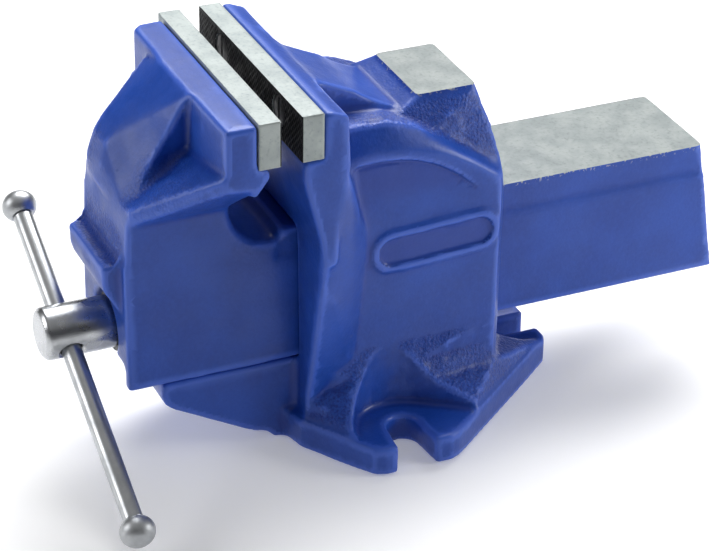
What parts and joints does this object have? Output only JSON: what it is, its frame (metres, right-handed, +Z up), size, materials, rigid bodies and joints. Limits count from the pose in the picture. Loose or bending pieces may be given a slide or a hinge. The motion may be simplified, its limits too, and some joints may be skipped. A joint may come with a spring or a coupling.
{
  "type": "bench vise",
  "caption": "Cast-iron engineer's bench vise with steel jaw plates, small anvil, box slide, screw and sliding tommy bar.",
  "frame": {"origin": "underside of the base on the middle plane, on the cross web between the two floor pockets", "axes": "+Z up; +Y along the clamping axis from the handle towards the anvil and the slide's tail; +X across the jaws, to the right when standing at the handle"},
  "size_m": [0.1458, 0.2705, 0.148],
  "materials": {
    "blue_enamel": "cast iron, glossy blue enamel over sand-cast skin, machined faces bare",
    "ground_steel": "surface ground, gripping faces dark and serrated",
    "bright_steel": "polished",
    "dark_steel": "blackened",
    "bare_iron": "unpainted casting"
  },
  "bodies": {
    "base": {"fixed_body": "blue_enamel", "fixed_jaw_plate": "ground_steel", "fixed_plate_screw_left": "dark_steel", "fixed_plate_screw_right": "dark_steel", "main_nut": "bare_iron", "nut_bolt_front": "dark_steel", "nut_bolt_rear": "dark_steel", "lock_washer_front": "dark_steel", "lock_washer_rear": "dark_steel"},
    "jaw": {"sliding_jaw": "blue_enamel", "sliding_jaw_plate": "ground_steel", "sliding_plate_screw_left": "dark_steel", "sliding_plate_screw_right": "dark_steel", "thrust_washer": "dark_steel"},
    "screw": {"main_screw": "bright_steel", "screw_spring": "dark_steel", "spring_collar": "dark_steel", "retaining_pin": "dark_steel"},
    "bar": {"tommy_bar": "bright_steel", "tommy_bar_knob_upper": "bright_steel", "tommy_bar_knob_lower": "bright_steel"}
  },
  "joints": [
    {"name": "jaw_slide", "type": "slide", "parent": "base", "child": "jaw", "axis": [0, -1, 0], "range_m": [-0.0073, 0.092]},
    {"name": "screw_spin", "type": "hinge", "parent": "jaw", "child": "screw", "pos_m": [0, -0.1, 0.0513], "axis": [0, -1, 0], "range_deg": [-660, 8290]},
    {"name": "bar_slide", "type": "slide", "parent": "screw", "child": "bar", "axis": [-0.8805, 0, 0.4741], "range_m": [-0.041, 0.0708]}
  ],
  "couplings": [
    {"joint": "screw_spin", "follows": "jaw_slide", "rad_per_m": 1570.8}
  ]
}
